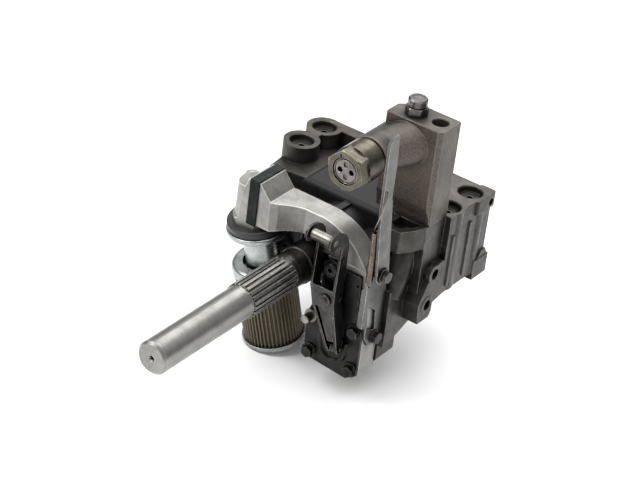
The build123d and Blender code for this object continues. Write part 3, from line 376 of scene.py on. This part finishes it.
def machined_cast_iron():
    """Iron casting: upward faces are milled and grey, flanks oily dark brown with rubbed edges."""
    g = Graph("machined_cast_iron")
    lines = g.noise(0.0009, 4.0, 0.6, UPRIGHT_MARKS)
    skin = g.noise(0.0028, 7.0, 0.7)
    top = g.facing((0, 0, 1))
    flank = iron_colours(g, (0.085, 0.080, 0.074), (0.030, 0.028, 0.026))
    milled = iron_colours(g, (0.125, 0.118, 0.109), (0.060, 0.056, 0.051))
    colour = g.mix(top, flank, milled)
    worn = g.math("MULTIPLY", g.edges(0.0014), g.ramp(g.noise(0.006), 0.3, 0.6))
    colour = g.mix(worn, colour, (0.27, 0.255, 0.235))
    # Painted shade: ambient occlusion darkens corners and recesses towards near black.
    colour = g.mix(g.math("MULTIPLY", g.hollows(0.014), 0.85), colour, (0.010, 0.009, 0.008))
    g.bump(g.math("ADD", g.math("MULTIPLY", lines, 0.4), skin), 0.5, 0.00016, 0.0013)
    return g.finish(colour, g.ramp(g.noise(0.004), 0.3, 0.7, 0.32, 0.5), 0.8)


def relief_iron():
    """Relief block: milled faces, and a red-brown rough-cast front."""
    g = Graph("relief_iron")
    rough_face = g.facing((0, -1, 0), 0.3, 0.6)
    skin = g.math("ADD", g.noise(0.0017, 8.0, 0.8), g.math("MULTIPLY", g.cells(0.0022), 0.35))
    lines = g.noise(0.0009, 4.0, 0.6, UPRIGHT_MARKS)
    milled = iron_colours(g, (0.135, 0.124, 0.112), (0.064, 0.058, 0.052))
    cast = g.mix(g.ramp(skin, 0.3, 0.8), (0.026, 0.021, 0.018), (0.135, 0.112, 0.097))
    colour = g.mix(rough_face, milled, cast)
    # Painted highlight: every edge of the block is lightened evenly.
    colour = g.mix(g.edges(0.0016, 0.01, 0.2), colour, (0.36, 0.33, 0.30))
    # Painted shade: ambient occlusion darkens corners and recesses towards near black.
    colour = g.mix(g.math("MULTIPLY", g.hollows(0.012), 0.85), colour, (0.010, 0.008, 0.007))
    height = g.math("ADD", g.math("MULTIPLY", skin, rough_face), g.math("MULTIPLY", lines, 0.12))
    g.bump(height, 0.8, 0.00055, 0.0014)
    return g.finish(colour, g.ramp(skin, 0.3, 0.8, 0.34, 0.56), 0.8)


# Where bare metal shows on the painted castings, each a band over which paint gives way to it.
PORT_FACES_Z = (0.0525, 0.0535)
BARE_BOSS_Z = (0.0335, 0.0345)
BARE_BOSS_X = (-0.0585, -0.0595)
PORT_FLOORS_ABOVE_Z = (0.0465, 0.0470)
PORT_FLOORS_BELOW_Z = (0.0485, 0.0480)


def black_painted_iron():
    """Black paint over iron; faces machined after painting show grey metal."""
    g = Graph("black_painted_iron")
    z = g.axis("Z")
    skin = g.noise(0.0022, 6.0, 0.7)
    upward = g.facing((0, 0, 1))
    faces = g.math("MULTIPLY", upward, g.ramp(z, *PORT_FACES_Z))
    boss = g.math("MULTIPLY", g.ramp(z, *BARE_BOSS_Z), g.ramp(g.axis("X"), *BARE_BOSS_X))
    between = g.math("MULTIPLY", g.ramp(z, *PORT_FLOORS_ABOVE_Z), g.ramp(z, *PORT_FLOORS_BELOW_Z))
    floors = g.math("MULTIPLY", between, upward)
    bare = g.math("MAXIMUM", g.math("MAXIMUM", faces, boss), floors)
    paint = g.mix(g.ramp(skin, 0.35, 0.7), (0.0045, 0.0045, 0.005), (0.012, 0.0115, 0.012))
    iron = iron_colours(g, (0.125, 0.118, 0.108), (0.055, 0.051, 0.046))
    colour = g.mix(bare, paint, iron)
    rubbed = g.math("MULTIPLY", g.edges(0.0009), g.ramp(g.noise(0.005), 0.5, 0.75))
    colour = g.mix(rubbed, colour, (0.30, 0.285, 0.265))
    # Painted shade: ambient occlusion darkens corners and recesses towards near black.
    colour = g.mix(g.math("MULTIPLY", g.hollows(0.008), 0.7), colour, (0.006, 0.0055, 0.005))
    g.bump(skin, 0.5, 0.0003, 0.0012)
    g.shader.inputs["Specular IOR Level"].default_value = 0.25
    metal = g.math("MAXIMUM", bare, rubbed)
    return g.finish(colour, g.ramp(skin, 0.3, 0.7, 0.42, 0.6), metal)


def black_rubber():
    g = Graph("black_rubber")
    skin = g.noise(0.0015, 5.0)
    colour = g.mix(g.ramp(skin, 0.35, 0.7), (0.006, 0.006, 0.006), (0.018, 0.018, 0.017))
    g.bump(skin, 0.4, 0.0001, 0.0008)
    return g.finish(colour, g.ramp(skin, 0.3, 0.7, 0.36, 0.5), 0.0)


def gasket_paper():
    g = Graph("gasket_paper")
    fibre = g.noise(0.0008, 5.0)
    colour = g.mix(g.ramp(fibre, 0.35, 0.7), (0.03, 0.03, 0.027), (0.07, 0.067, 0.058))
    g.bump(fibre, 0.4, 0.00005)
    return g.finish(colour, g.ramp(fibre, 0.3, 0.7, 0.6, 0.8), 0.0)


# Wave scale of the wires that cross the pleats.
WIRE_ROWS = 260.0


def wire_cloth():
    """Brown-olive wire gauze: the pleats' valleys painted dark as shade, and fine wires crossing the
    pleats.
    """
    g = Graph("wire_cloth")
    rows = g.add("ShaderNodeTexWave", wave_type="BANDS", bands_direction="Z")
    g.link(g.place, rows.inputs["Vector"])
    rows.inputs["Scale"].default_value = WIRE_ROWS
    weave = g.noise(0.0007, 3.0)
    colour = g.mix(g.ramp(weave, 0.35, 0.65), (0.13, 0.108, 0.072), (0.29, 0.25, 0.18))
    colour = g.mix(g.ramp(rows.outputs["Fac"], 0.2, 0.8, 0.35, 0.0), colour, (0.04, 0.033, 0.022))
    # Painted shade: ambient occlusion darkens the pleats' valleys towards near black.
    colour = g.mix(g.math("MULTIPLY", g.hollows(0.0035), 0.95), colour, (0.012, 0.010, 0.007))
    g.bump(rows.outputs["Fac"], 0.5, 0.00015)
    return g.finish(colour, g.ramp(weave, 0.3, 0.7, 0.4, 0.6), 0.8)


def dress_nodes():
    """Give every CAD node the material of its slot, and a few nodes one of their own."""
    materials = {
        "ground_steel": ground_steel(), "hardened_steel": hardened_steel(), "dark_steel": dark_steel(),
        "black_painted_iron": black_painted_iron(), "machined_cast_iron": machined_cast_iron(),
        "rough_cast_iron": relief_iron(), "cast_aluminium": cast_aluminium(), "zinc_steel": zinc_steel(),
        "yellow_zinc_steel": yellow_zinc_steel(), "wire_cloth": wire_cloth(), "bronze": bronze(),
        "black_rubber": black_rubber(), "gasket_paper": gasket_paper(), "spring_steel": spring_steel(),
        "bolt_steel": bolt_steel(),
    }
    slots = {part["node"]: part["material_slot"] for part in frame["record"]["subparts"]}
    for name, node in NODES.items():
        node.data.materials.clear()
        node.data.materials.append(materials[slots[name]])
    own_materials = {
        shaft_steel: ("drive_shaft",),
        bracket_zinc: ("side_bracket", "blade_lever"),
        clip_steel: ("housing_clip",),
        cap_steel: ("block_bolt",),
        disc_steel: ("relief_adjuster",),
        worn_steel: ("lever_roller", "roller_pin", "stub_pin"),
    }
    for maker, names in own_materials.items():
        material = maker()
        for name in names:
            NODES[name].data.materials[0] = material
    for name in ("control_spool", "spool_washer"):
        NODES[name].data.materials[0] = materials["dark_steel"]
    return materials


# ---------------------------------------------------------------- tension spring

COIL_START = in_mm(81.6, 101.0, 14.5)
COIL_END = in_mm(82.6, 98.8, 74.0)
COIL_R = 3.2 * MM
WIRE_R = 0.55 * MM
COIL_PITCH = 2.5 * WIRE_R
STEPS_PER_TURN = 14
HOOK_LEAD = 2 * MM
UPPER_WIRE = (in_mm(83.5, 94.0, 80.0), in_mm(88.0, 89.8, 90.0), in_mm(91.2, 91.5, 103.0),
              in_mm(91.4, 96.0, 116.0))
UPPER_HOOK = (in_mm(91.4, 97.3, 123.4), in_mm(86.1, 97.3, 123.4))
LOWER_HOOK = (in_mm(77.1, 104.3, 7.0), in_mm(81.4, 104.3, 7.0))


def wound_wire():
    """Points along the spring's wire: hook, close turns, hook."""
    along = (COIL_END - COIL_START).normalized()
    side = along.orthogonal().normalized()
    front = along.cross(side)
    length = (COIL_END - COIL_START).length
    steps = length / COIL_PITCH * STEPS_PER_TURN
    points = [*LOWER_HOOK, COIL_START - along * HOOK_LEAD]
    for step in range(int(steps) + 1):
        angle = 2 * math.pi * step / STEPS_PER_TURN
        centre = COIL_START + along * length * step / steps
        points.append(centre + (side * math.cos(angle) + front * math.sin(angle)) * COIL_R)
    points += [COIL_END + along * HOOK_LEAD, *UPPER_WIRE, *UPPER_HOOK]
    return points


def tension_spring(material):
    """Close-wound spring between the bracket and the blade, as one bent wire."""
    curve = bpy.data.curves.new("spring_wire", "CURVE")
    curve.dimensions = "3D"
    curve.bevel_depth = WIRE_R
    curve.bevel_resolution = 2
    curve.use_fill_caps = True
    points = wound_wire()
    line = curve.splines.new("POLY")
    line.points.add(len(points) - 1)
    for target, point in zip(line.points, points):
        target.co = (*point, 1.0)
    source = placed("spring_wire", curve)
    bpy.context.view_layer.update()
    mesh = bpy.data.meshes.new_from_object(source)
    bpy.data.objects.remove(source)
    bpy.data.curves.remove(curve)
    for face in mesh.polygons:
        face.use_smooth = True
    spring = placed("wound_spring", mesh)
    mesh.materials.clear()
    mesh.materials.append(material)
    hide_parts("tension_spring")
    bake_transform(spring)


# ---------------------------------------------------------------- stage

CAMERA_PLACE = Vector((1.0915, -1.6153, 1.2759))
CAMERA_TARGET = Vector((0.0398, 0.068, 0.0596))
CAMERA_ROLL = math.radians(7.4)
# The lens and the sensor are in millimetres, as Blender has them.
CAMERA_LENS = 135.0
CAMERA_SENSOR = 36.0
CAMERA_REACH = 20.0
FLOOR_HALF = 6.0
LIGHT_AIM = (0.0, 0.1, 0.0)
HORIZON_STRENGTH = 0.12
OVERHEAD_STRENGTH = 1.0
OVERHEAD_FROM = 0.75


def camera():
    data = bpy.data.cameras.new("camera")
    data.lens = CAMERA_LENS
    data.sensor_width = CAMERA_SENSOR
    data.clip_end = CAMERA_REACH
    item = placed("camera", data)
    item.matrix_world = looking(CAMERA_PLACE, CAMERA_TARGET) @ Matrix.Rotation(CAMERA_ROLL, 4, "Z")
    bpy.context.scene.camera = item


def floor():
    """Near-white ground at the lowest point of the part."""
    mesh = bpy.data.meshes.new("floor")
    level = CAD_BOX[0][2]
    signs = ((-1, -1), (1, -1), (1, 1), (-1, 1))
    mesh.from_pydata([(x * FLOOR_HALF, y * FLOOR_HALF, level) for x, y in signs], [], [(0, 1, 2, 3)])
    item = placed("floor", mesh)
    g = Graph("floor")
    colour = g.mix(g.ramp(g.noise(0.5), 0.3, 0.7), (0.93, 0.93, 0.93), (0.95, 0.95, 0.95))
    mesh.materials.append(g.finish(colour, 0.9, 0.0))


def area_light(name, place, size, power):
    data = bpy.data.lights.new(name, "AREA")
    data.shape = "RECTANGLE"
    data.size, data.size_y = size
    data.energy = power
    placed(name, data).matrix_world = looking(place, LIGHT_AIM)


def studio_sky():
    """White above, falling to grey round the horizon, so that metal has something dark to mirror."""
    world = bpy.data.worlds.new("studio")
    bpy.context.scene.world = world
    world.use_nodes = True
    tree = world.node_tree
    backdrop = tree.nodes["Background"]
    direction = tree.nodes.new("ShaderNodeTexCoord")
    parts = tree.nodes.new("ShaderNodeSeparateXYZ")
    climb = tree.nodes.new("ShaderNodeMapRange")
    climb.inputs["From Min"].default_value = 0.0
    climb.inputs["From Max"].default_value = OVERHEAD_FROM
    climb.inputs["To Min"].default_value = HORIZON_STRENGTH
    climb.inputs["To Max"].default_value = OVERHEAD_STRENGTH
    tree.links.new(direction.outputs["Generated"], parts.inputs[0])
    tree.links.new(parts.outputs["Z"], climb.inputs["Value"])
    tree.links.new(climb.outputs[0], backdrop.inputs["Strength"])
    backdrop.inputs["Color"].default_value = (1.0, 1.0, 1.0, 1.0)


def lights():
    studio_sky()
    area_light("key", (-1.3, -1.0, 1.7), (1.4, 1.4), 34.0)
    area_light("top", (0.1, 0.3, 2.3), (2.4, 2.4), 40.0)
    area_light("fill", (1.9, -0.6, 1.0), (0.7, 1.2), 5.0)
    area_light("rim", (-0.6, 1.7, 1.5), (1.6, 0.8), 14.0)


MATERIALS = dress_nodes()
tension_spring(MATERIALS["spring_steel"])
camera()
floor()
lights()
bpy.context.scene.view_settings.view_transform = "Standard"
